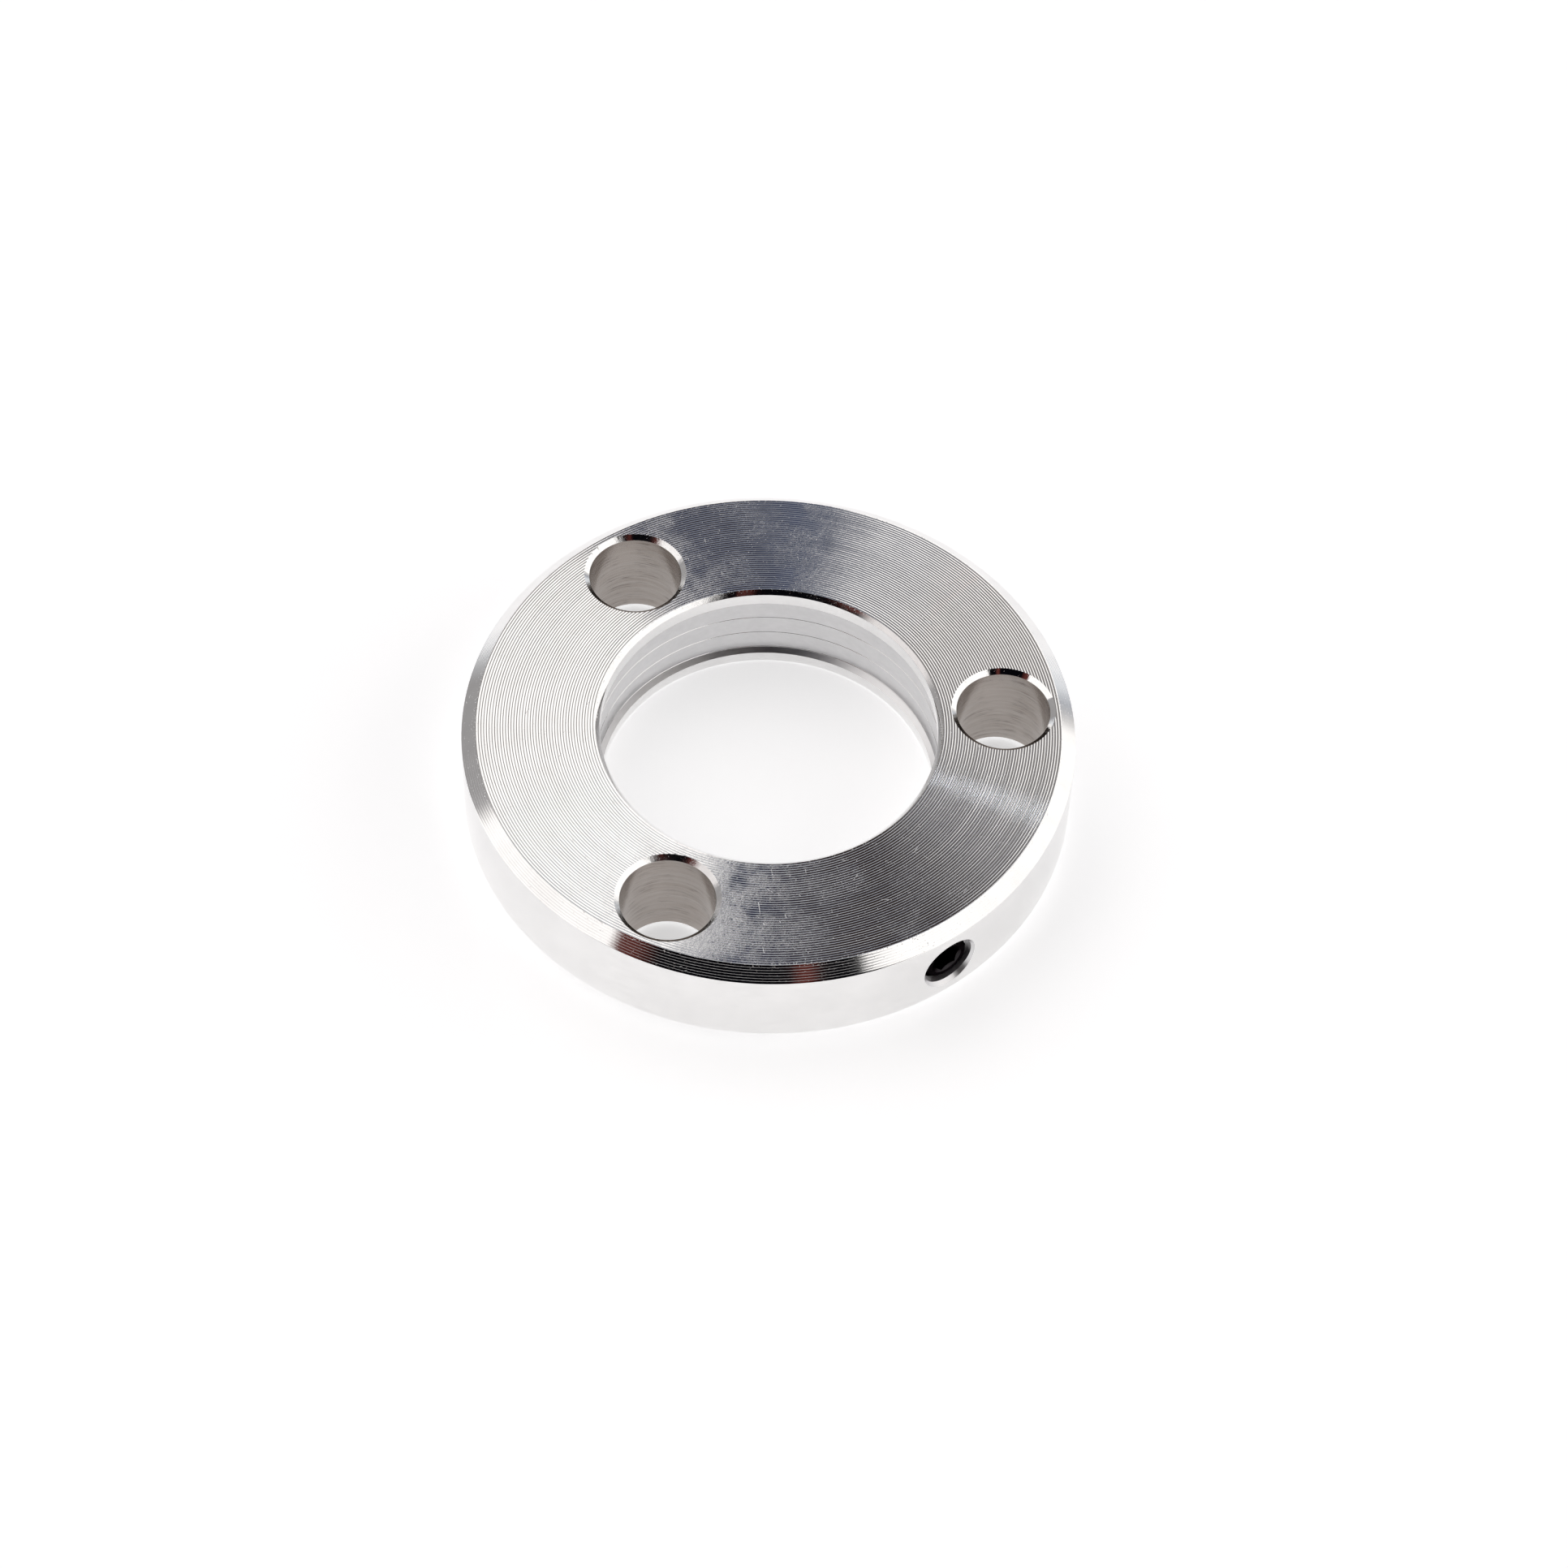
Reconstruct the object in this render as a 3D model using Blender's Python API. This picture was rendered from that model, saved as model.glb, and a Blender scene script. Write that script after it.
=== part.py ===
"""A flat aluminium ring flange held on its tube by one radial set screw.

Metres, +Z up.  The origin is the centre of the bottom face.  The set screw lies
along Y, in the -Y side of the ring, and slides along its own axis as it turns.
"""
import math

import bmesh
import bpy
from mathutils import Matrix, Vector

MM = 0.001

# Ring: overall sizes
OUTER_RADIUS = 32.5 * MM
THICKNESS = 11.8 * MM
BORE_RADIUS = 17.9 * MM

# Ring: edges, each one as (radial width, axial height)
TOP_RIM_CHAMFER = (1.5 * MM, 1.25 * MM)
BOTTOM_RIM_CHAMFER = (1.5 * MM, 1.55 * MM)
TOP_BORE_CHAMFER = (0.46 * MM, 0.46 * MM)
BOTTOM_BORE_CHAMFER = (0.1 * MM, 0.1 * MM)

# Ring: the shallow recess turned inside the bore, with sloping shoulders
RECESS_RADIUS = 18.5 * MM
RECESS_TOP_DEPTH = 1.9 * MM
RECESS_BOTTOM_DEPTH = 10.4 * MM
RECESS_SHOULDER_HEIGHT = 0.35 * MM

# Bolt holes
BOLT_HOLE_COUNT = 3
BOLT_CIRCLE_RADIUS = 25.0 * MM
BOLT_HOLE_RADIUS = 5.0 * MM
BOLT_HOLE_CHAMFER = (0.55 * MM, 0.45 * MM)
FIRST_BOLT_HOLE_ANGLE = math.radians(-30.0)

# Set screw, M6 x 12 with a hexagon socket and a cup point
SCREW_LENGTH = 12.0 * MM
SCREW_HOLE_RADIUS = 3.0 * MM
RUNNING_GAP = 0.3 * MM
SCREW_RADIUS = SCREW_HOLE_RADIUS - RUNNING_GAP
SCREW_INSET = 0.7 * MM
SCREW_END_CHAMFER = 0.45 * MM
SOCKET_ACROSS_FLATS = 3.0 * MM
SOCKET_DEPTH = 3.5 * MM
CUP_RADIUS = 1.5 * MM
CUP_DEPTH = 0.8 * MM
POINT_CHAMFER = 0.8 * MM
COUNTERSINK_RADIUS = 3.3 * MM

# Mesh fineness
RING_STEPS = 96
HOLE_STEPS = 40
SCREW_STEPS = 36
CUT_OVERRUN = 1.0 * MM
MERGE_DISTANCE = 0.001 * MM
SHARP_ANGLE = math.radians(25.0)


def clear_scene():
    for thing in list(bpy.data.objects):
        bpy.data.objects.remove(thing, do_unlink=True)


def make_material(name, colour, metallic, roughness):
    material = bpy.data.materials.new(name)
    material.use_nodes = True
    shader = material.node_tree.nodes["Principled BSDF"]
    shader.inputs["Base Color"].default_value = (*colour, 1.0)
    shader.inputs["Metallic"].default_value = metallic
    shader.inputs["Roughness"].default_value = roughness
    return material


def add_object(name, bm, material=None):
    """Turn a bmesh into a named object with outward faces and smooth round sides."""
    bmesh.ops.recalc_face_normals(bm, faces=bm.faces)
    mesh = bpy.data.meshes.new(name)
    bm.to_mesh(mesh)
    bm.free()
    mesh.shade_smooth()
    mesh.set_sharp_from_angle(angle=SHARP_ANGLE)
    if material:
        mesh.materials.append(material)
    thing = bpy.data.objects.new(name, mesh)
    bpy.context.collection.objects.link(thing)
    return thing


def turned(outline, steps):
    """Spin a closed outline of (radius, height) points once round the Z axis."""
    bm = bmesh.new()
    points = [bm.verts.new((radius, 0.0, height)) for radius, height in outline]
    edges = [bm.edges.new((points[i - 1], points[i])) for i in range(len(points))]
    bmesh.ops.spin(
        bm,
        geom=points + edges,
        cent=(0.0, 0.0, 0.0),
        axis=(0.0, 0.0, 1.0),
        angle=2.0 * math.pi,
        steps=steps,
    )
    bmesh.ops.remove_doubles(bm, verts=bm.verts, dist=MERGE_DISTANCE)
    on_axis = [face for face in bm.faces if face.calc_area() < MERGE_DISTANCE ** 2]
    bmesh.ops.delete(bm, geom=on_axis, context="FACES_ONLY")
    return bm


def make_cutter(name, bm):
    cutter = add_object(name, bm)
    cutter.hide_render = True
    cutter.display_type = "WIRE"
    return cutter


def cut(thing, cutter):
    modifier = thing.modifiers.new(cutter.name, "BOOLEAN")
    modifier.operation = "DIFFERENCE"
    modifier.solver = "EXACT"
    modifier.object = cutter


def ring_outline():
    """The ring's section, from the bottom face outwards, up the rim and down the bore."""
    top_rim_width, top_rim_height = TOP_RIM_CHAMFER
    bottom_rim_width, bottom_rim_height = BOTTOM_RIM_CHAMFER
    top_bore_width, top_bore_height = TOP_BORE_CHAMFER
    bottom_bore_width, bottom_bore_height = BOTTOM_BORE_CHAMFER
    recess_top = THICKNESS - RECESS_TOP_DEPTH
    recess_bottom = THICKNESS - RECESS_BOTTOM_DEPTH
    return [
        (BORE_RADIUS + bottom_bore_width, 0.0),
        (OUTER_RADIUS - bottom_rim_width, 0.0),
        (OUTER_RADIUS, bottom_rim_height),
        (OUTER_RADIUS, THICKNESS - top_rim_height),
        (OUTER_RADIUS - top_rim_width, THICKNESS),
        (BORE_RADIUS + top_bore_width, THICKNESS),
        (BORE_RADIUS, THICKNESS - top_bore_height),
        (BORE_RADIUS, recess_top),
        (RECESS_RADIUS, recess_top - RECESS_SHOULDER_HEIGHT),
        (RECESS_RADIUS, recess_bottom + RECESS_SHOULDER_HEIGHT),
        (BORE_RADIUS, recess_bottom),
        (BORE_RADIUS, bottom_bore_height),
    ]


def bolt_hole_outline():
    """A through hole with a chamfer at each face, flaring on past both faces."""
    width, height = BOLT_HOLE_CHAMFER
    slope = width / height
    mouth_radius = BOLT_HOLE_RADIUS + width + slope * CUT_OVERRUN
    return [
        (0.0, -CUT_OVERRUN),
        (mouth_radius, -CUT_OVERRUN),
        (BOLT_HOLE_RADIUS, height),
        (BOLT_HOLE_RADIUS, THICKNESS - height),
        (mouth_radius, THICKNESS + CUT_OVERRUN),
        (0.0, THICKNESS + CUT_OVERRUN),
    ]


def screw_hole_outline():
    """A radial hole from the bore to the rim, with a 45 degree countersink at the rim."""
    countersink_depth = COUNTERSINK_RADIUS - SCREW_HOLE_RADIUS
    return [
        (0.0, BORE_RADIUS - CUT_OVERRUN),
        (SCREW_HOLE_RADIUS, BORE_RADIUS - CUT_OVERRUN),
        (SCREW_HOLE_RADIUS, OUTER_RADIUS - countersink_depth),
        (COUNTERSINK_RADIUS + CUT_OVERRUN, OUTER_RADIUS + CUT_OVERRUN),
        (0.0, OUTER_RADIUS + CUT_OVERRUN),
    ]


def screw_outline():
    """The screw's section, with its socket end at height 0 and its cup point below."""
    return [
        (0.0, 0.0),
        (0.0, -SCREW_LENGTH + CUP_DEPTH),
        (CUP_RADIUS, -SCREW_LENGTH),
        (SCREW_RADIUS - POINT_CHAMFER, -SCREW_LENGTH),
        (SCREW_RADIUS, -SCREW_LENGTH + POINT_CHAMFER),
        (SCREW_RADIUS, -SCREW_END_CHAMFER),
        (SCREW_RADIUS - SCREW_END_CHAMFER, 0.0),
    ]


def hexagon_prism(across_flats, low, high):
    bm = bmesh.new()
    corner_radius = across_flats / math.sqrt(3.0)
    corners = []
    for side in range(6):
        angle = math.radians(60.0 * side)
        corners.append(bm.verts.new((corner_radius * math.cos(angle), corner_radius * math.sin(angle), low)))
    base = bm.faces.new(corners)
    grown = bmesh.ops.extrude_face_region(bm, geom=[base])
    top = [item for item in grown["geom"] if isinstance(item, bmesh.types.BMVert)]
    bmesh.ops.translate(bm, verts=top, vec=Vector((0.0, 0.0, high - low)))
    return bm


def build_flange_ring(screw_frame):
    material = make_material("turned_aluminium", (0.82, 0.81, 0.80), 1.0, 0.32)
    ring = add_object("flange_ring", turned(ring_outline(), RING_STEPS), material)
    for number in range(BOLT_HOLE_COUNT):
        angle = FIRST_BOLT_HOLE_ANGLE + number * 2.0 * math.pi / BOLT_HOLE_COUNT
        cutter = make_cutter(f"bolt_hole_cutter_{number + 1}", turned(bolt_hole_outline(), HOLE_STEPS))
        cutter.location = (BOLT_CIRCLE_RADIUS * math.cos(angle), BOLT_CIRCLE_RADIUS * math.sin(angle), 0.0)
        cut(ring, cutter)
    screw_cutter = make_cutter("screw_hole_cutter", turned(screw_hole_outline(), HOLE_STEPS))
    screw_cutter.matrix_world = screw_frame
    cut(ring, screw_cutter)
    return ring


def build_set_screw(screw_frame):
    material = make_material("black_oxide_steel", (0.035, 0.03, 0.032), 1.0, 0.38)
    screw = add_object("set_screw", turned(screw_outline(), SCREW_STEPS), material)
    socket = make_cutter("socket_cutter", hexagon_prism(SOCKET_ACROSS_FLATS, -SOCKET_DEPTH, CUT_OVERRUN))
    end_face = OUTER_RADIUS - SCREW_INSET
    screw.matrix_world = screw_frame @ Matrix.Translation((0.0, 0.0, end_face))
    socket.matrix_world = screw.matrix_world
    cut(screw, socket)
    return screw


def main():
    clear_scene()
    # The screw's own Z axis starts on the ring's axis at half height and points out along -Y.
    mid_height = Matrix.Translation((0.0, 0.0, THICKNESS / 2.0))
    screw_frame = mid_height @ Matrix.Rotation(math.radians(90.0), 4, "X")
    build_flange_ring(screw_frame)
    build_set_screw(screw_frame)


main()
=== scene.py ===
"""The finished look of the ring flange and its set screw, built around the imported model.

Metres, in the model's own frame: +Z up along the bore, -Y out through the set screw.
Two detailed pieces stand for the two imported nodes, in a plain pale studio.
"""
import math
import random

import bmesh
import bpy
from mathutils import Matrix, Vector

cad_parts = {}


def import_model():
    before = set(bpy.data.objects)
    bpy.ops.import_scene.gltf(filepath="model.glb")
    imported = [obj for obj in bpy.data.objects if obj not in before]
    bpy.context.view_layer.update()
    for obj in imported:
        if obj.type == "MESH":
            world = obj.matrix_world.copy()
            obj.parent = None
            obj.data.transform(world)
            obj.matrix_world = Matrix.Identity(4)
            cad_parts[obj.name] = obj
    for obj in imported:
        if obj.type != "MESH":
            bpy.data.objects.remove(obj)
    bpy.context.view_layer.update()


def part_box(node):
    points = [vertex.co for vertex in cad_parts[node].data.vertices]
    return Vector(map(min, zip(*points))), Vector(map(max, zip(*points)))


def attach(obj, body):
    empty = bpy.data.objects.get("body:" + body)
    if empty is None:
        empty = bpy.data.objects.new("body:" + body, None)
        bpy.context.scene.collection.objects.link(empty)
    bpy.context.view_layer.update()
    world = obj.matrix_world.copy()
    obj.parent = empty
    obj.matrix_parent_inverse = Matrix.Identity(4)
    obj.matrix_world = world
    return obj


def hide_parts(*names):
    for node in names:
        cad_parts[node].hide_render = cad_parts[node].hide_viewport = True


MM = 0.001
MICRON = 0.000001

# ---------------------------------------------------------------- sizes of the ring
TOP_RIM_CHAMFER = (1.5 * MM, 1.25 * MM)
BOTTOM_RIM_CHAMFER = (1.5 * MM, 1.55 * MM)
BORE_RADIUS = 17.9 * MM
TOP_BORE_CHAMFER = 0.46 * MM
BOTTOM_BORE_CHAMFER = 0.1 * MM
RECESS_RADIUS = 18.5 * MM
RECESS_TOP_DEPTH = 1.9 * MM
RECESS_BOTTOM_DEPTH = 10.4 * MM
RECESS_SHOULDER_HEIGHT = 0.35 * MM
WITNESS_LINE_DEPTHS = (5.0 * MM, 7.5 * MM, 9.95 * MM)
WITNESS_LINE_WIDTH = 0.1 * MM
WITNESS_LINE_HEIGHT = 0.03 * MM
EDGE_ROUNDING = 0.03 * MM
# the inner edge of the top face's outer chamfer, where nicks gather
OUTER_EDGE_RADIUS = 31.0 * MM

FACING_PITCH = 0.285 * MM
FACING_GROOVE_DEPTH = 0.032 * MM
# place across one groove, and height there from its bottom (0) to its crest (1)
FACING_SECTION = ((0.14, 0.64), (0.42, 0.22), (0.70, 0.0), (0.85, 0.38))
# how far one groove's depth and place may stray, as shares of its depth and width
GROOVE_DEPTH_SPREAD = 0.06
GROOVE_DRIFT = 0.02
BACK_FACING_PITCH = 0.62 * MM
BACK_FACING_GROOVE_DEPTH = 0.02 * MM
# place along one ridge, and height there below the surface, as a share of its height
RIDGE_SECTION = ((0.0, 0.0), (0.4, -0.65), (0.94, -1.0))
CHAMFER_RIDGES = 7
CHAMFER_RIDGE_HEIGHT = 0.016 * MM
RIM_RIDGES = 28
RIM_RIDGE_HEIGHT = 0.010 * MM
RECESS_RIDGE_PITCH = 0.3 * MM
RECESS_RIDGE_HEIGHT = 0.006 * MM

BOLT_HOLE_COUNT = 3
BOLT_CIRCLE_RADIUS = 25.0 * MM
BOLT_HOLE_RADIUS = 5.0 * MM
BOLT_HOLE_CHAMFER = (0.55 * MM, 0.45 * MM)
FIRST_BOLT_HOLE_ANGLE = math.radians(-30.0)

# ---------------------------------------------------------------- sizes of the screw
THREAD_PITCH = 1.0 * MM
THREAD_MAJOR_RADIUS = 2.9 * MM
THREAD_MINOR_RADIUS = 2.42 * MM
THREAD_CLEARANCE = 0.05 * MM
# place across one turn, and height of the thread there from root to crest
THREAD_SECTION = (
    (0.0, 1.0), (0.125, 1.0), (0.28, 0.5), (0.4375, 0.0), (0.6875, 0.0), (0.85, 0.5), (1.0, 1.0),
)
COUNTERSINK_RADIUS = 3.4 * MM
SCREW_FACE_RADIUS = 2.35 * MM
THREAD_ENTRY_DEPTH = 1.4 * MM
SCREW_POINT_RADIUS = 1.9 * MM
SOCKET_ACROSS_FLATS = 3.0 * MM
SOCKET_DEPTH = 3.5 * MM
SOCKET_TURN = math.radians(12.0)
# height of the cone at the socket's bottom, as a share of the width across flats
SOCKET_CONE = 0.25
SOCKET_MOUTH_RADIUS = 1.85 * MM
SOCKET_LEAD_IN_SLOPE = 0.6
CUP_RADIUS = 1.5 * MM
CUP_DEPTH = 0.8 * MM

# ---------------------------------------------------------------- mesh fineness
RING_STEPS = 180
HOLE_STEPS = 96
THREAD_STEPS = 60
CUT_OVERRUN = 1.0 * MM
MERGE_DISTANCE = 0.0005 * MM
SHARP_ANGLE = math.radians(19.0)

# ---------------------------------------------------------------- camera
CAMERA_AZIMUTH = math.radians(-37.55)
CAMERA_ELEVATION = math.radians(52.97)
CAMERA_ROLL = math.radians(2.45)
CAMERA_DISTANCE = 451.4 * MM
CAMERA_LENS = 98.13
CENTRE_LEFT_OF_AXIS = 1.57 * MM
CENTRE_ABOVE_AXIS = 6.42 * MM

# ---------------------------------------------------------------- studio
# A direction is (azimuth, elevation) in degrees, seen from the object: azimuth 0 is
# the camera's side and 90 is its right.
FLOOR_GLOW = 0.56
ROOM_LIGHT = (0.028, 0.034, 0.062)
BLACK = (0.002, 0.002, 0.003)
BROWN = (0.11, 0.03, 0.025)
TAN = (0.036, 0.026, 0.024)
DIM = (0.37, 0.36, 0.36)
HAZE = (0.24, 0.26, 0.31)
GLARE = (0.85, 0.87, 0.9)
GREY = (0.29, 0.275, 0.265)
SOFT_WHITE = (0.9, 0.86, 0.85)
WHITE = (1.25, 1.22, 1.2)
LAMP = (8.0, 8.6, 9.6)
# corners of each panel, how soft its edge is (radians), its light
PANELS = (
    # black cloth round the camera
    (((-66, -20), (-62, 58), (-30, 76), (30, 76), (60, 50), (40, -20)), 0.05, BLACK),
    # tan wall over the camera's right shoulder
    (((0, 72), (60, 52), (120, 56), (165, 57), (177, 62), (177, 80)), 0.06, TAN),
    # haze low behind the object, and a glare along the horizon
    (((-128, -15), (-145, 29), (145, 29), (128, -15)), 0.08, HAZE),
    (((-122, -15), (-140, 11), (140, 11), (122, -15)), 0.08, GLARE),
    # dim wall low on the left
    (((-98, -15), (-98, 27), (-140, 27), (-140, -15)), 0.09, DIM),
    # brown edges of the frames that carry the white panels
    (((-40, 26), (-40, 46), (-58, 60), (-72, 40), (-60, 26)), 0.05, BROWN),
    (((14, 24), (14, 60), (21, 60), (21, 24)), 0.02, BROWN),
    # white panel on the left, down to the floor
    (((-46, -15), (-60, 42), (-103, 34), (-103, -15)), 0.08, SOFT_WHITE),
    # white scrim overhead and to the left
    (((-52, 42), (-111, 82), (-177.5, 55), (-166, 25), (-100, 24)), 0.02, WHITE),
    # grey wall high on the right
    (((46, 50), (145, 62), (175.3, 30.7), (150, 25), (70, 40)), 0.06, GREY),
    # softbox low on the right, in two halves
    (((38, -15), (38, 49), (95, 43), (95, -15)), 0.02, WHITE),
    (((88, -15), (88, 42), (137, 30), (129, -15)), 0.06, WHITE),
    # small lamp
    (((147.1, 52.4), (147.1, 54.4), (148.3, 54.4), (148.3, 52.4)), 0.005, LAMP),
)
ROOM_PATCHES = 8.0
DARKEST_PATCH = 0.25
BRIGHTEST_PATCH = 3.2
FLOOR_SIZE = 8.0
FLOOR_GAP = 0.05 * MM

# ---------------------------------------------------------------- surface marks
# Each scale is in marks per metre, more or less.
FINE_MARKS_SCALE = 9000.0
BROAD_MARKS_SCALE = 1600.0
MARKS_STRETCH = 0.012
GRIT_SCALE = 6500.0
DENTS_SCALE = 1300.0
POLISH_PATCHES_SCALE = 210.0
SMUDGE_CLOUDS_SCALE = 230.0
SMUDGE_GRAIN_SCALE = 1700.0
NICKS_SCALE = 5200.0
NICK_CROWDS_SCALE = 320.0
NICK_DEPTH = 4.0 * MICRON
WORN_WIDTH = 0.35 * MM
SCRATCH_SCALE = 5200.0
SCRATCH_STRETCH = 12.0
SCRATCH_DIRECTIONS = (0.4, 1.1, 1.9, 2.5)
DRILL_RINGS_SCALE = 2600.0
DRILL_TEARS_SCALE = 7000.0
DRILL_GAPS_SCALE = 420.0
DRILL_STRETCH = 0.05
# fingers have smudged the top face on both sides of the bore, along this diameter
GRIP_ANGLE = math.radians(40.0)

# Which material index each kind of surface has on the ring
FACED, RIM, BORED, RECESSED, DRILLED = range(5)


# ================================================================ mesh helpers
def object_from(name, bm, materials=()):
    """Turn a bmesh into a named object, with its faces outward and its materials in order."""
    bmesh.ops.recalc_face_normals(bm, faces=bm.faces)
    mesh = bpy.data.meshes.new(name)
    bm.to_mesh(mesh)
    bm.free()
    for material in materials:
        mesh.materials.append(material)
    thing = bpy.data.objects.new(name, mesh)
    bpy.context.scene.collection.objects.link(thing)
    return thing


def lathe(outline, steps, indices=None):
    """Turn a closed outline of (radius, height) points once round Z.

    indices gives the material of the surface between each point and the next one.
    """
    bm = bmesh.new()
    rings = []
    for radius, height in outline:
        if radius < MERGE_DISTANCE:
            rings.append([bm.verts.new((0.0, 0.0, height))] * steps)
            continue
        ring = []
        for step in range(steps):
            angle = 2.0 * math.pi * step / steps
            ring.append(bm.verts.new((radius * math.cos(angle), radius * math.sin(angle), height)))
        rings.append(ring)
    for number, ring in enumerate(rings):
        following = rings[(number + 1) % len(rings)]
        for step in range(steps):
            other = (step + 1) % steps
            corners = [ring[step], ring[other], following[other], following[step]]
            corners = list(dict.fromkeys(corners))
            if len(corners) < 3:
                continue
            face = bm.faces.new(corners)
            face.smooth = True
            face.material_index = indices[number] if indices else 0
    return bm


def apply_cuts(thing, cutters, operation="DIFFERENCE"):
    """Cut each cutter out of thing, or with INTERSECT keep what lies in it; remove the cutters."""
    for cutter in cutters:
        modifier = thing.modifiers.new(cutter.name, "BOOLEAN")
        modifier.operation = operation
        modifier.solver = "EXACT"
        modifier.object = cutter
    bpy.context.view_layer.update()
    evaluated = thing.evaluated_get(bpy.context.evaluated_depsgraph_get())
    mesh = bpy.data.meshes.new_from_object(evaluated)
    mesh.name = thing.name
    thing.modifiers.clear()
    thing.data = mesh
    for cutter in cutters:
        bpy.data.objects.remove(cutter, do_unlink=True)


def finish_piece(thing):
    """Merge what the cuts left doubled, and shade round sides smooth and edges sharp."""
    bm = bmesh.new()
    bm.from_mesh(thing.data)
    bmesh.ops.remove_doubles(bm, verts=bm.verts, dist=MERGE_DISTANCE)
    bmesh.ops.dissolve_degenerate(bm, edges=bm.edges, dist=MERGE_DISTANCE)
    bm.to_mesh(thing.data)
    bm.free()
    thing.data.shade_smooth()
    thing.data.set_sharp_from_angle(angle=SHARP_ANGLE)


# ================================================================ turned outlines
def rounded(before, corner, after):
    """Three points that round off a corner between two stretches of an outline."""
    corner = Vector(corner)
    towards = (Vector(before) - corner).normalized()
    away = (Vector(after) - corner).normalized()
    middle = corner + (towards + away) * EDGE_ROUNDING * 0.3
    return [tuple(corner + towards * EDGE_ROUNDING), tuple(middle), tuple(corner + away * EDGE_ROUNDING)]


def facing_grooves(start_radius, end_radius, height, pitch, depth, chance, flip=1.0):
    """A faced surface: each turn of the tool leaves a long flank and a short steep one.

    The long flank falls outwards.  flip is -1 on a face that looks down.
    """
    inward = end_radius < start_radius
    low, high = sorted((start_radius, end_radius))
    count = round((high - low) / pitch)
    points = []
    for groove in range(count):
        inner = low + (high - low) * groove / count
        width = (high - low) / count
        cut = depth * chance.uniform(1.0 - GROOVE_DEPTH_SPREAD, 1.0 + GROOVE_DEPTH_SPREAD)
        drift = chance.uniform(-GROOVE_DRIFT, GROOVE_DRIFT) * width
        points.append((inner, height))
        for across, level in FACING_SECTION:
            points.append((inner + across * width + drift, height - flip * cut * (1.0 - level)))
    points.append((high, height))
    return points[::-1] if inward else points


def ridged(start, end, ridges, ridge_height, outward):
    """A straight stretch of an outline with fine, even turning ridges standing below it."""
    start = Vector(start)
    end = Vector(end)
    points = []
    for ridge in range(ridges):
        for across, level in RIDGE_SECTION:
            place = start.lerp(end, (ridge + across) / ridges)
            points.append(tuple(place + Vector(outward) * ridge_height * level))
    points.append(tuple(end))
    return points


def witness_line(radius, height):
    """A thin proud line that the grooving tool left round the recess, seen going down."""
    half = WITNESS_LINE_WIDTH / 2.0
    return [
        (radius, height + half),
        (radius - WITNESS_LINE_HEIGHT, height + half * 0.4),
        (radius - WITNESS_LINE_HEIGHT, height - half * 0.4),
        (radius, height - half),
    ]


def ring_outline(outer_radius, thickness):
    """The ring's whole section and the kind of surface after each point."""
    chance = random.Random(7)
    outline = []
    kinds = []

    def add(points, kind):
        outline.extend(points)
        kinds.extend([kind] * len(points))

    top_width, top_height = TOP_RIM_CHAMFER
    bottom_width, bottom_height = BOTTOM_RIM_CHAMFER
    bottom_inner = (BORE_RADIUS + BOTTOM_BORE_CHAMFER, 0.0)
    bottom_outer = (outer_radius - bottom_width, 0.0)
    rim_bottom = (outer_radius, bottom_height)
    rim_top = (outer_radius, thickness - top_height)
    top_outer = (outer_radius - top_width, thickness)
    top_inner = (BORE_RADIUS + TOP_BORE_CHAMFER, thickness)
    bore_top = (BORE_RADIUS, thickness - TOP_BORE_CHAMFER)
    recess_top = thickness - RECESS_TOP_DEPTH
    recess_bottom = thickness - RECESS_BOTTOM_DEPTH

    add(facing_grooves(bottom_inner[0], bottom_outer[0], 0.0, BACK_FACING_PITCH,
                       BACK_FACING_GROOVE_DEPTH, chance, flip=-1.0), FACED)
    outward = Vector((bottom_height, -bottom_width)).normalized()
    add(ridged(bottom_outer, rim_bottom, CHAMFER_RIDGES, CHAMFER_RIDGE_HEIGHT, outward)[1:-1], FACED)
    add(rounded(bottom_outer, rim_bottom, rim_top), RIM)
    add(ridged(rim_bottom, rim_top, RIM_RIDGES, RIM_RIDGE_HEIGHT, (1.0, 0.0))[1:-1], RIM)
    add(rounded(rim_bottom, rim_top, top_outer), FACED)
    outward = Vector((top_height, top_width)).normalized()
    add(ridged(rim_top, top_outer, CHAMFER_RIDGES, CHAMFER_RIDGE_HEIGHT, outward)[1:-1], FACED)
    add(facing_grooves(top_outer[0], top_inner[0], thickness, FACING_PITCH,
                       FACING_GROOVE_DEPTH, chance), FACED)
    add(rounded(top_inner, bore_top, (BORE_RADIUS, recess_top)), BORED)
    add([(BORE_RADIUS, recess_top)], BORED)
    start = recess_top - RECESS_SHOULDER_HEIGHT
    for depth in WITNESS_LINE_DEPTHS:
        line = witness_line(RECESS_RADIUS, thickness - depth)
        count = round((start - line[0][1]) / RECESS_RIDGE_PITCH)
        wall = ridged((RECESS_RADIUS, start), line[0], count, RECESS_RIDGE_HEIGHT, (-1.0, 0.0))
        add(wall[:-1], RECESSED)
        add(line[:-1], BORED)
        add(line[-1:], RECESSED)
        start = line[-1][1]
    add([(RECESS_RADIUS, recess_bottom + RECESS_SHOULDER_HEIGHT)], RECESSED)
    add([(BORE_RADIUS, recess_bottom)], BORED)
    add([(BORE_RADIUS, BOTTOM_BORE_CHAMFER)], BORED)
    return outline, kinds


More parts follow.
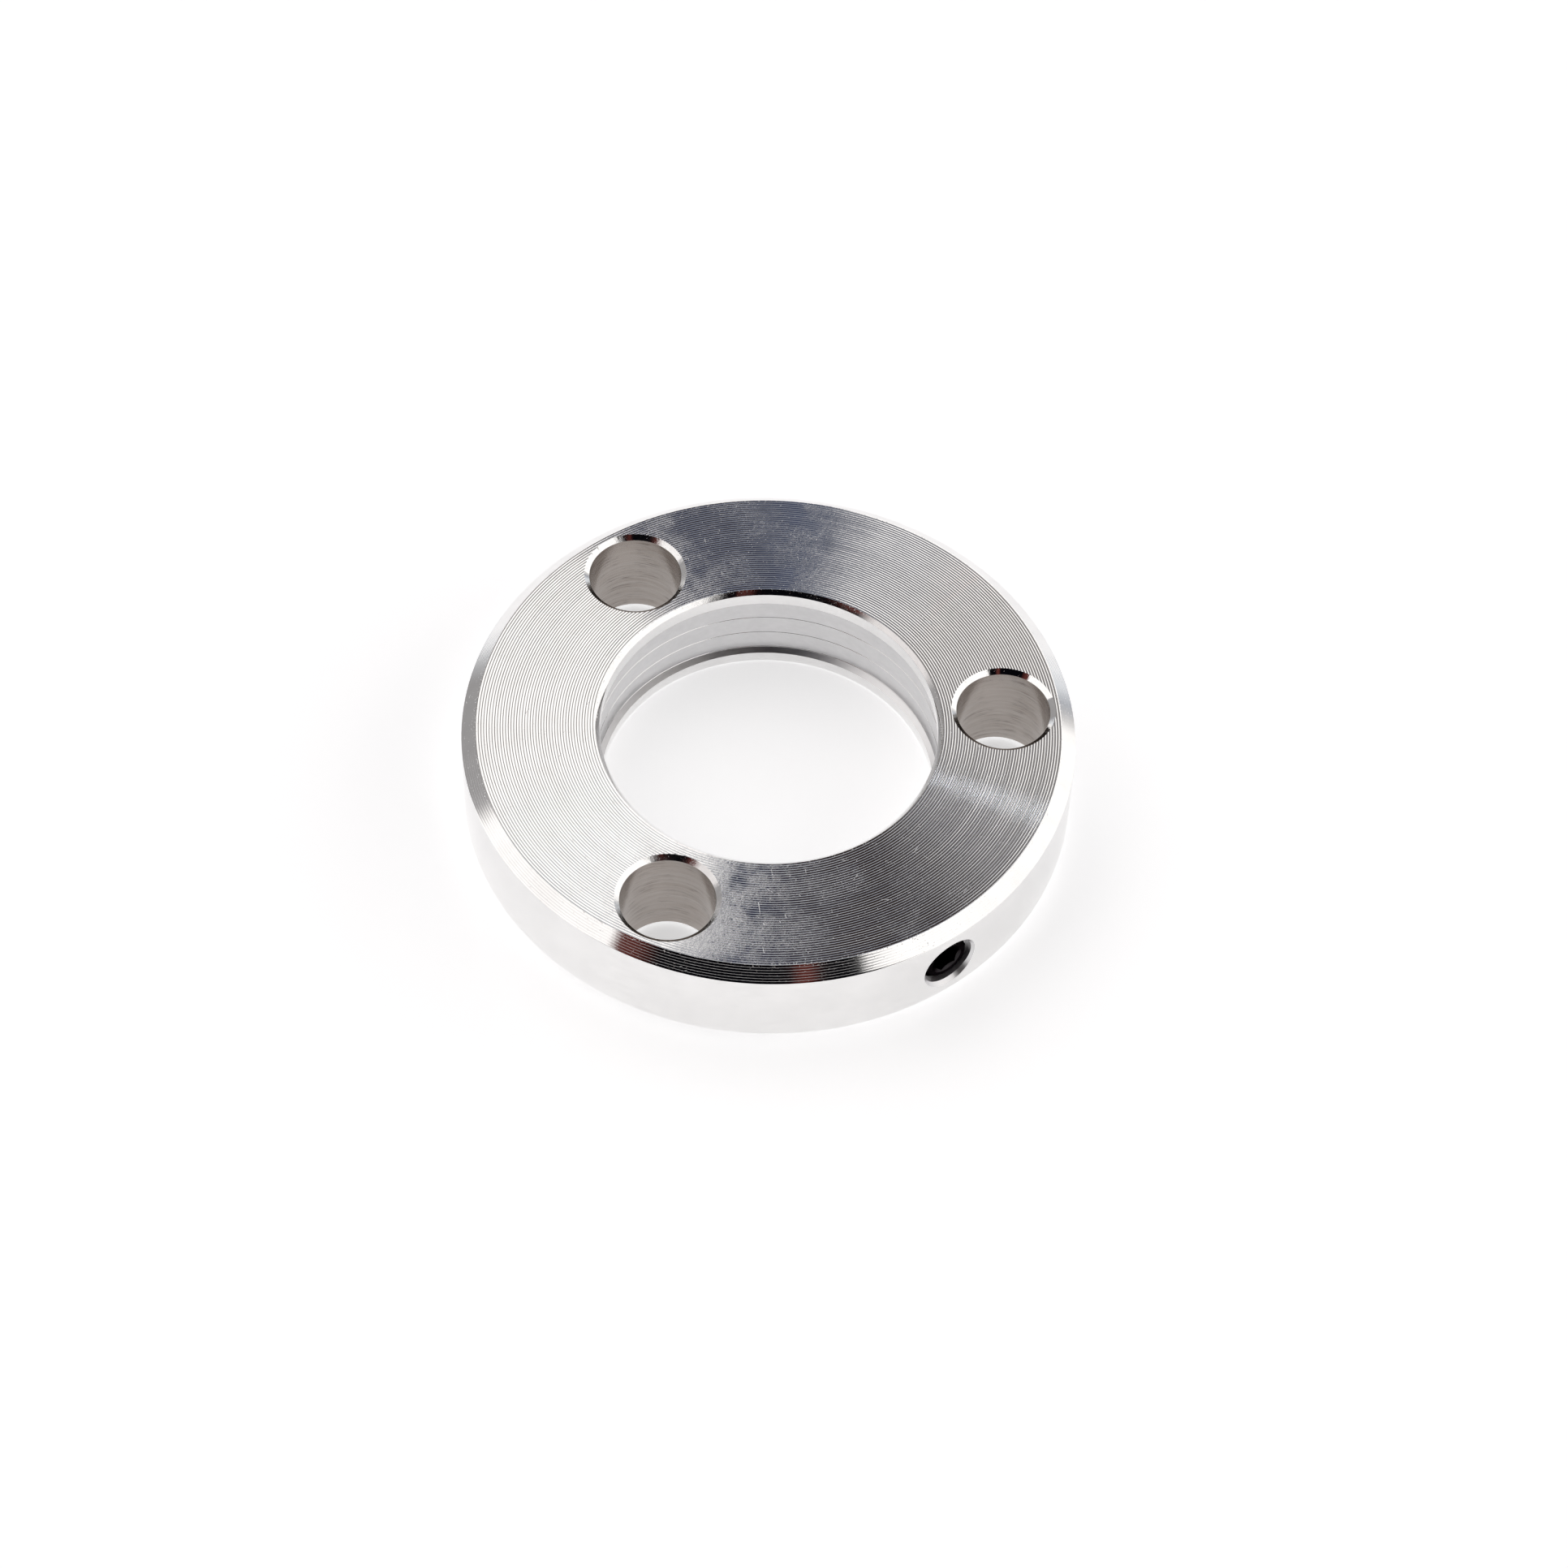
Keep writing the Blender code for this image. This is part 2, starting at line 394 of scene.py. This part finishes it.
# ================================================================ cutters
def bolt_hole_cutter(number, thickness):
    """A through hole with a chamfer at each face."""
    width, height = BOLT_HOLE_CHAMFER
    mouth = BOLT_HOLE_RADIUS + width * (1.0 + CUT_OVERRUN / height)
    outline = [
        (0.0, -CUT_OVERRUN),
        (mouth, -CUT_OVERRUN),
        (BOLT_HOLE_RADIUS, height),
        (BOLT_HOLE_RADIUS, thickness - height),
        (mouth, thickness + CUT_OVERRUN),
        (0.0, thickness + CUT_OVERRUN),
    ]
    kinds = [FACED, FACED, DRILLED, FACED, FACED, FACED]
    cutter = object_from(f"bolt_hole_cutter_{number}", lathe(outline, HOLE_STEPS, kinds))
    angle = FIRST_BOLT_HOLE_ANGLE + number * 2.0 * math.pi / BOLT_HOLE_COUNT
    cutter.location = (BOLT_CIRCLE_RADIUS * math.cos(angle), BOLT_CIRCLE_RADIUS * math.sin(angle), 0.0)
    return cutter


def turned_cutter(name, outline, kind):
    """A cutter turned from (radius, height) points, closed along its axis."""
    closed = [(0.0, outline[0][1])] + outline + [(0.0, outline[-1][1])]
    # an outline that already ends on the axis keeps one point there
    closed = list(dict.fromkeys(closed))
    return object_from(name, lathe(closed, HOLE_STEPS, [kind] * len(closed)))


def hexagon_cutter(name, across_flats, low, high):
    """A hexagon bar with the cone of the drilled hole at its lower end."""
    bm = bmesh.new()
    corner = across_flats / math.sqrt(3.0)
    levels = []
    for height in (low, high):
        level = []
        for side in range(6):
            angle = SOCKET_TURN + 2.0 * math.pi * side / 6
            level.append(bm.verts.new((corner * math.cos(angle), corner * math.sin(angle), height)))
        levels.append(level)
    tip = bm.verts.new((0.0, 0.0, low - across_flats * SOCKET_CONE))
    bm.faces.new(levels[1])
    for side in range(6):
        other = (side + 1) % 6
        bm.faces.new((levels[0][side], levels[0][other], levels[1][other], levels[1][side]))
        bm.faces.new((levels[0][other], levels[0][side], tip))
    return object_from(name, bm)


def thread_radius(across, grow):
    """The thread's radius at a place across its turns; across grows by one with each turn."""
    across %= 1.0
    for (start, start_level), (end, end_level) in zip(THREAD_SECTION, THREAD_SECTION[1:]):
        if across <= end:
            break
    level = start_level + (end_level - start_level) * (across - start) / (end - start)
    return THREAD_MINOR_RADIUS + level * (THREAD_MAJOR_RADIUS - THREAD_MINOR_RADIUS) + grow


def threaded_rod(low, high, grow, kind):
    """A rod along Z with a right-hand thread, cut off flat at low and at high.

    A crest starts at z = 0 on the X axis; grow makes the rod fatter, as a tap is.
    """
    first_turn = math.floor(low / THREAD_PITCH) - 1
    turns = math.ceil(high / THREAD_PITCH) - first_turn + 1
    columns = THREAD_STEPS * turns
    bm = bmesh.new()
    grid = []
    for column in range(columns + 1):
        angle = 2.0 * math.pi * column / THREAD_STEPS
        row = []
        for across, _ in THREAD_SECTION[:-1]:
            height = THREAD_PITCH * (first_turn + column / THREAD_STEPS + across)
            height = min(max(height, low), high)
            radius = thread_radius(height / THREAD_PITCH - column / THREAD_STEPS, grow)
            row.append(bm.verts.new((radius * math.cos(angle), radius * math.sin(angle), height)))
        grid.append(row)
    for column in range(columns):
        for place in range(len(THREAD_SECTION) - 1):
            if place + 2 < len(THREAD_SECTION):
                upper = (grid[column][place + 1], grid[column + 1][place + 1])
            elif column + 1 + THREAD_STEPS <= columns:
                upper = (grid[column + THREAD_STEPS][0], grid[column + 1 + THREAD_STEPS][0])
            else:
                continue
            face = bm.faces.new((grid[column][place], grid[column + 1][place], upper[1], upper[0]))
            face.smooth = True
            face.material_index = kind
    bmesh.ops.remove_doubles(bm, verts=bm.verts, dist=MERGE_DISTANCE)
    flat = [face for face in bm.faces if face.calc_area() < MERGE_DISTANCE ** 2]
    bmesh.ops.delete(bm, geom=flat, context="FACES_ONLY")
    wires = [edge for edge in bm.edges if edge.is_wire]
    bmesh.ops.delete(bm, geom=wires, context="EDGES")
    loose = [vert for vert in bm.verts if not vert.link_edges]
    bmesh.ops.delete(bm, geom=loose, context="VERTS")
    open_edges = [edge for edge in bm.edges if edge.is_boundary]
    bmesh.ops.holes_fill(bm, edges=open_edges, sides=0)
    return bm


# ================================================================ materials
class Nodes:
    """A short way to write the nodes of a material or of the world."""

    def __init__(self, tree):
        self.tree = tree

    def add(self, kind, settings=None, **inputs):
        node = self.tree.nodes.new(kind)
        for key, value in (settings or {}).items():
            setattr(node, key, value)
        for key, value in inputs.items():
            self.put(node.inputs[key.replace("_", " ")], value)
        return node

    def put(self, socket, value):
        if isinstance(value, bpy.types.NodeSocket):
            self.tree.links.new(value, socket)
        else:
            socket.default_value = value

    def maths(self, operation, *values, clamp=False):
        node = self.tree.nodes.new("ShaderNodeMath")
        node.operation = operation
        node.use_clamp = clamp
        for socket, value in zip(node.inputs, values):
            self.put(socket, value)
        return node.outputs[0]

    def noise(self, vector, scale, detail=2.0, roughness=0.5):
        settings = {"Vector": vector, "Scale": scale, "Detail": detail, "Roughness": roughness}
        return self.add("ShaderNodeTexNoise", None, **settings).outputs[0]

    def remap(self, value, low, high, to_low=0.0, to_high=1.0):
        node = self.add("ShaderNodeMapRange", {"clamp": True})
        for socket, number in zip(node.inputs, (value, low, high, to_low, to_high)):
            self.put(socket, number)
        return node.outputs[0]

    def blend(self, share, first, second):
        node = self.add("ShaderNodeMix", {"data_type": "RGBA"})
        self.put(node.inputs[0], share)
        self.put(node.inputs[6], first)
        self.put(node.inputs[7], second)
        return node.outputs[2]

    def combine(self, x, y, z):
        node = self.add("ShaderNodeCombineXYZ")
        for socket, value in zip(node.inputs, (x, y, z)):
            self.put(socket, value)
        return node.outputs[0]

    def bump(self, height, distance, normal=None):
        node = self.add("ShaderNodeBump", None, Height=height, Distance=distance)
        if normal:
            self.put(node.inputs["Normal"], normal)
        return node.outputs[0]


def new_material(name):
    material = bpy.data.materials.new(name)
    material.use_nodes = True
    return material, Nodes(material.node_tree), material.node_tree.nodes["Principled BSDF"]


def turned_coordinates(nodes):
    """Position, radius from Z, and a vector that is fine across turning marks and long along them."""
    place = nodes.add("ShaderNodeTexCoord").outputs["Object"]
    parts = nodes.add("ShaderNodeSeparateXYZ", None, Vector=place)
    x, y, z = parts.outputs
    squares = [nodes.maths("MULTIPLY", part, part) for part in (x, y)]
    radius = nodes.maths("SQRT", nodes.maths("ADD", *squares))
    across = nodes.maths("ADD", radius, z)
    lengthwise = []
    for part in (x, y):
        share = nodes.maths("DIVIDE", part, radius)
        lengthwise.append(nodes.maths("MULTIPLY", share, MARKS_STRETCH))
    return place, radius, nodes.combine(across, *lengthwise)


def scratches(nodes, place, turn):
    """Thin straight scratches, all lying one way, from 0 to 1."""
    spin = nodes.add("ShaderNodeMapping", {"vector_type": "TEXTURE"})
    nodes.put(spin.inputs["Vector"], place)
    nodes.put(spin.inputs["Rotation"], (0.0, 0.0, turn))
    nodes.put(spin.inputs["Scale"], (SCRATCH_STRETCH, 1.0, 1.0))
    return nodes.remap(nodes.noise(spin.outputs[0], SCRATCH_SCALE, 1.0, 0.5), 0.785, 0.82)


def wear(nodes, place, radius, worn_radii):
    """Nicks and scratches, from 0 to 1, crowded along the edges at the given radii."""
    crowding = nodes.remap(nodes.noise(place, NICK_CROWDS_SCALE, 3.0, 0.6), 0.5, 0.75, 0.0, 0.05)
    for worn in worn_radii:
        away = nodes.maths("ABSOLUTE", nodes.maths("SUBTRACT", radius, worn))
        crowding = nodes.maths("ADD", crowding, nodes.remap(away, 0.0, WORN_WIDTH, 0.10, 0.0))
    nicks = nodes.maths("ADD", nodes.noise(place, NICKS_SCALE, 2.0, 0.6), crowding)
    marks = nodes.remap(nicks, 0.70, 0.76)
    for turn in SCRATCH_DIRECTIONS:
        marks = nodes.maths("MAXIMUM", marks, scratches(nodes, place, turn))
    return marks


def smudges(nodes, place, radius):
    """Finger smudges, from 0 to 1, on both sides of the bore and inside the outer edge."""
    grip = nodes.add("ShaderNodeVectorMath", {"operation": "DOT_PRODUCT"})
    nodes.put(grip.inputs[0], place)
    nodes.put(grip.inputs[1], (math.sin(GRIP_ANGLE), math.cos(GRIP_ANGLE), 0.0))
    along_grip = nodes.maths("ABSOLUTE", nodes.maths("DIVIDE", grip.outputs["Value"], radius))
    held = nodes.remap(along_grip, 0.55, 0.85)
    on_top = nodes.remap(radius, OUTER_EDGE_RADIUS, OUTER_EDGE_RADIUS - 0.2 * MM)
    held = nodes.maths("MULTIPLY", held, on_top)
    clouds = nodes.remap(nodes.noise(place, SMUDGE_CLOUDS_SCALE, 3.0, 0.6), 0.32, 0.58)
    clouds = nodes.maths("MULTIPLY", held, clouds)
    grain = nodes.remap(nodes.noise(place, SMUDGE_GRAIN_SCALE, 6.0, 0.8), 0.40, 0.78)
    return nodes.maths("MULTIPLY", clouds, grain)


def metal(name, colour, roughness, marks_depth, grit_depth, dents_depth, smear=0.1, worn_radii=()):
    """Cut metal: fine marks along the tool's path, grit, shallow dents and a varying polish.

    smear is how much rougher a smudge is; nicks and scratches come only with worn_radii.
    """
    material, nodes, shader = new_material(name)
    place, radius, marks = turned_coordinates(nodes)
    fine_marks = nodes.noise(marks, FINE_MARKS_SCALE, 3.0, 0.6)
    broad_marks = nodes.noise(marks, BROAD_MARKS_SCALE, 2.0, 0.5)
    grit = nodes.noise(place, GRIT_SCALE, 3.0, 0.6)
    dents = nodes.noise(place, DENTS_SCALE, 3.0, 0.6)
    patches = nodes.noise(place, POLISH_PATCHES_SCALE, 3.0, 0.6)
    smeared = smudges(nodes, place, radius)

    normal = nodes.bump(fine_marks, marks_depth)
    normal = nodes.bump(nodes.maths("MULTIPLY", grit, smeared), grit_depth, normal)
    normal = nodes.bump(dents, dents_depth, normal)

    polish = nodes.maths("MULTIPLY_ADD", patches, 0.08, roughness - 0.04)
    polish = nodes.maths("MULTIPLY_ADD", broad_marks, 0.06, nodes.maths("SUBTRACT", polish, 0.03))
    polish = nodes.maths("MULTIPLY_ADD", smeared, smear, polish)
    if worn_radii:
        worn = wear(nodes, place, radius, worn_radii)
        normal = nodes.bump(worn, NICK_DEPTH, normal)
        polish = nodes.maths("MULTIPLY_ADD", worn, 0.35, polish)
    shade = nodes.remap(nodes.maths("ADD", broad_marks, patches), 0.75, 1.25)
    dull = tuple(part * 0.93 for part in colour)

    nodes.put(shader.inputs["Base Color"], nodes.blend(shade, (*dull, 1.0), (*colour, 1.0)))
    nodes.put(shader.inputs["Metallic"], 1.0)
    nodes.put(shader.inputs["Roughness"], polish)
    nodes.put(shader.inputs["Normal"], normal)
    return material


def drilled_metal():
    """The torn, streaky walls of the drilled holes, which darken between the bright strokes. Their metal
    is coloured about half as bright as the faced aluminium: painted shade inside the holes.
    """
    material, nodes, shader = new_material("drilled_aluminium")
    place = nodes.add("ShaderNodeTexCoord").outputs["Object"]
    squash = nodes.add("ShaderNodeMapping", {"vector_type": "POINT"})
    nodes.put(squash.inputs["Vector"], place)
    nodes.put(squash.inputs["Scale"], (DRILL_STRETCH, DRILL_STRETCH, 1.0))
    rings = nodes.noise(squash.outputs[0], DRILL_RINGS_SCALE, 4.0, 0.65)
    tears = nodes.noise(squash.outputs[0], DRILL_TEARS_SCALE, 4.0, 0.7)
    gaps = nodes.noise(place, DRILL_GAPS_SCALE, 2.0, 0.5)
    normal = nodes.bump(rings, 2.5 * MICRON)
    normal = nodes.bump(tears, 1.5 * MICRON, normal)
    streaks = nodes.maths("MULTIPLY", nodes.remap(tears, 0.5, 0.72), nodes.remap(gaps, 0.42, 0.6))
    # dull and bright are far darker than the faced metal, as painted shade on the hole walls; torn is
    # the still darker colour of the streaks
    dull, bright, torn = (0.42, 0.375, 0.345, 1.0), (0.49, 0.455, 0.43, 1.0), (0.12, 0.09, 0.08, 1.0)
    base = nodes.blend(nodes.remap(rings, 0.35, 0.65), dull, bright)
    base = nodes.blend(nodes.maths("MULTIPLY", streaks, 0.85), base, torn)
    nodes.put(shader.inputs["Base Color"], base)
    nodes.put(shader.inputs["Metallic"], 1.0)
    nodes.put(shader.inputs["Roughness"], nodes.maths("MULTIPLY_ADD", rings, 0.16, 0.16))
    nodes.put(shader.inputs["Normal"], normal)
    return material


def ring_materials():
    """The ring's five surfaces, in the order of their indices."""
    bright = (0.88, 0.875, 0.87)
    # grey is the recess wall's colour, darker than the rest of the ring: painted shade for the shadowed
    # floor the wall reflects inside the bore
    grey = (0.72, 0.715, 0.72)
    edges = (BORE_RADIUS + TOP_BORE_CHAMFER, OUTER_EDGE_RADIUS)
    return [
        metal("faced_aluminium", bright, 0.07, marks_depth=0.6 * MICRON, grit_depth=12.0 * MICRON,
              dents_depth=0.4 * MICRON, smear=0.23, worn_radii=edges),
        metal("rim_aluminium", bright, 0.20, marks_depth=2.0 * MICRON, grit_depth=0.6 * MICRON,
              dents_depth=2.0 * MICRON),
        metal("bored_aluminium", bright, 0.16, marks_depth=2.0 * MICRON, grit_depth=0.4 * MICRON,
              dents_depth=1.0 * MICRON),
        # the recess's grey colour is painted shade inside the bore; its rougher finish is the real
        # grooved surface
        metal("recessed_aluminium", grey, 0.30, marks_depth=5.0 * MICRON, grit_depth=0.6 * MICRON,
              dents_depth=1.5 * MICRON),
        drilled_metal(),
    ]


def screw_material():
    """Black oxide on steel, which stays dark even where it is seen at a slant."""
    material = metal("black_oxide", (0.030, 0.027, 0.029), 0.26, marks_depth=0.6 * MICRON,
                     grit_depth=1.0 * MICRON, dents_depth=1.0 * MICRON)
    shader = material.node_tree.nodes["Principled BSDF"]
    shader.inputs["Specular Tint"].default_value = (0.15, 0.14, 0.14, 1.0)
    return material


# ================================================================ the two pieces
def build_ring(low, high, screw_frame, screw_end):
    """The turned ring, with its bolt holes and the tapped hole cut out of it.

    screw_end is how far the screw's outer end lies from the ring's axis.
    """
    outer_radius = high.x
    thickness = high.z - low.z
    outline, kinds = ring_outline(outer_radius, thickness)
    ring = object_from("turned_flange_ring", lathe(outline, RING_STEPS, kinds), ring_materials())
    cutters = [bolt_hole_cutter(number, thickness) for number in range(BOLT_HOLE_COUNT)]
    tap_low = BORE_RADIUS - CUT_OVERRUN - screw_end
    tap_high = outer_radius + CUT_OVERRUN - screw_end
    tap = threaded_rod(tap_low, tap_high, THREAD_CLEARANCE, DRILLED)
    tap_cutter = object_from("tap_cutter", tap)
    entry_radius = THREAD_MAJOR_RADIUS + THREAD_CLEARANCE
    surface = outer_radius - screw_end
    countersink = turned_cutter("countersink_cutter", [
        (entry_radius, surface - THREAD_ENTRY_DEPTH),
        (entry_radius, surface - (COUNTERSINK_RADIUS - entry_radius)),
        (COUNTERSINK_RADIUS + CUT_OVERRUN, surface + CUT_OVERRUN),
    ], RECESSED)
    for cutter in (tap_cutter, countersink):
        cutter.matrix_world = screw_frame
        cutters.append(cutter)
    apply_cuts(ring, cutters)
    finish_piece(ring)
    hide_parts("flange_ring")
    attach(ring, "ring")


def build_screw(length, screw_frame):
    """The set screw: a threaded rod with chamfered ends, a hexagon socket and a cup point."""
    rod = threaded_rod(-length - CUT_OVERRUN, CUT_OVERRUN, 0.0, 0)
    screw = object_from("socket_set_screw", rod, [screw_material()])
    blank_radius = THREAD_MAJOR_RADIUS + CUT_OVERRUN
    blank = turned_cutter("screw_blank", [
        (SCREW_POINT_RADIUS, -length),
        (blank_radius, -length + (blank_radius - SCREW_POINT_RADIUS)),
        (blank_radius, -(blank_radius - SCREW_FACE_RADIUS)),
        (SCREW_FACE_RADIUS, 0.0),
    ], 0)
    apply_cuts(screw, [blank], "INTERSECT")
    socket = hexagon_cutter("socket_cutter", SOCKET_ACROSS_FLATS, -SOCKET_DEPTH, CUT_OVERRUN)
    lead_in = turned_cutter("lead_in_cutter", [
        (SOCKET_MOUTH_RADIUS - CUT_OVERRUN, -CUT_OVERRUN * SOCKET_LEAD_IN_SLOPE),
        (SOCKET_MOUTH_RADIUS + CUT_OVERRUN, CUT_OVERRUN * SOCKET_LEAD_IN_SLOPE),
    ], 0)
    cup = turned_cutter("cup_cutter", [
        (CUP_RADIUS * (1.0 + CUT_OVERRUN / CUP_DEPTH), -length - CUT_OVERRUN),
        (0.0, -length + CUP_DEPTH),
    ], 0)
    apply_cuts(screw, [socket, lead_in, cup])
    finish_piece(screw)
    screw.data.transform(screw_frame)
    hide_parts("set_screw")
    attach(screw, "screw")


def build_pieces():
    """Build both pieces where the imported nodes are, and return the height of the top face."""
    ring_low, ring_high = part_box("flange_ring")
    screw_low, screw_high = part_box("set_screw")
    mid_height = (screw_low.z + screw_high.z) / 2.0
    screw_place = Matrix.Translation((0.0, screw_low.y, mid_height))
    screw_frame = screw_place @ Matrix.Rotation(math.pi / 2.0, 4, "X")
    build_ring(ring_low, ring_high, screw_frame, -screw_low.y)
    build_screw(screw_high.y - screw_low.y, screw_frame)
    return ring_high.z


# ================================================================ studio
def build_camera(top_centre):
    """The camera's place from its angles, its distance and where it puts the top face's centre."""
    sin_a, cos_a = math.sin(CAMERA_AZIMUTH), math.cos(CAMERA_AZIMUTH)
    sin_e, cos_e = math.sin(CAMERA_ELEVATION), math.cos(CAMERA_ELEVATION)
    back = Vector((sin_a * cos_e, -cos_a * cos_e, sin_e))
    right = Vector((cos_a, sin_a, 0.0))
    up = back.cross(right)
    turn = Matrix.Rotation(CAMERA_ROLL, 3, back)
    right = turn @ right
    up = turn @ up
    place = top_centre + back * CAMERA_DISTANCE
    place += right * CENTRE_LEFT_OF_AXIS - up * CENTRE_ABOVE_AXIS
    data = bpy.data.cameras.new("camera")
    data.lens = CAMERA_LENS
    data.clip_start = 0.01
    data.clip_end = 20.0
    camera = bpy.data.objects.new("camera", data)
    camera.matrix_world = Matrix.Translation(place) @ Matrix((right, up, back)).transposed().to_4x4()
    bpy.context.scene.collection.objects.link(camera)
    bpy.context.scene.camera = camera


def build_floor():
    """A wide pale floor just under the ring, which glows a little by itself."""
    material, nodes, shader = new_material("pale_floor")
    nodes.put(shader.inputs["Base Color"], (0.86, 0.86, 0.87, 1.0))
    nodes.put(shader.inputs["Roughness"], 0.9)
    nodes.put(shader.inputs["Emission Color"], (1.0, 1.0, 1.0, 1.0))
    nodes.put(shader.inputs["Emission Strength"], FLOOR_GLOW)
    bpy.ops.mesh.primitive_plane_add(size=FLOOR_SIZE, location=(0.0, 0.0, -FLOOR_GAP))
    floor = bpy.context.object
    floor.name = "floor"
    floor.data.materials.append(material)


def towards(azimuth, elevation):
    """The unit vector of a direction given in degrees."""
    azimuth = math.radians(azimuth)
    elevation = math.radians(elevation)
    flat = math.cos(elevation)
    return Vector((math.sin(azimuth) * flat, -math.cos(azimuth) * flat, math.sin(elevation)))


def panel(nodes, direction, corners, softness):
    """How far a direction lies inside a panel hung round the object, from 0 to 1.

    corners are the directions of the panel's corners, in turn; two neighbours give one edge.
    """
    corners = [towards(*corner) for corner in corners]
    centre = sum(corners, Vector())
    inside = None
    for number, first in enumerate(corners):
        second = corners[(number + 1) % len(corners)]
        inward = first.cross(second).normalized()
        if inward.dot(centre) < 0.0:
            inward.negate()
        depth = nodes.add("ShaderNodeVectorMath", {"operation": "DOT_PRODUCT"})
        nodes.put(depth.inputs[0], direction)
        nodes.put(depth.inputs[1], inward)
        share = nodes.remap(depth.outputs["Value"], -softness, softness)
        inside = share if inside is None else nodes.maths("MINIMUM", inside, share)
    return inside


def build_world():
    """A dark room with bright panels; the camera itself sees a pale surround."""
    world = bpy.data.worlds.new("studio")
    world.use_nodes = True
    bpy.context.scene.world = world
    nodes = Nodes(world.node_tree)
    background = world.node_tree.nodes["Background"]
    turn = nodes.add("ShaderNodeVectorRotate", {"rotation_type": "Z_AXIS"})
    nodes.put(turn.inputs["Vector"], nodes.add("ShaderNodeTexCoord").outputs["Generated"])
    nodes.put(turn.inputs["Angle"], -CAMERA_AZIMUTH)
    direction = turn.outputs[0]
    patches = nodes.remap(nodes.noise(direction, ROOM_PATCHES, 3.0, 0.6), 0.35, 0.7)
    darkest = tuple(part * DARKEST_PATCH for part in ROOM_LIGHT)
    brightest = tuple(part * BRIGHTEST_PATCH for part in ROOM_LIGHT)
    colour = nodes.blend(patches, (*darkest, 1.0), (*brightest, 1.0))
    for corners, softness, light in PANELS:
        colour = nodes.blend(panel(nodes, direction, corners, softness), colour, (*light, 1.0))
    camera_ray = nodes.add("ShaderNodeLightPath").outputs["Is Camera Ray"]
    nodes.put(background.inputs["Color"], nodes.blend(camera_ray, colour, (1.0, 1.0, 1.0, 1.0)))


def main():
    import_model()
    top = build_pieces()
    build_camera(Vector((0.0, 0.0, top)))
    build_floor()
    build_world()
    bpy.context.scene.view_settings.view_transform = "Standard"


main()
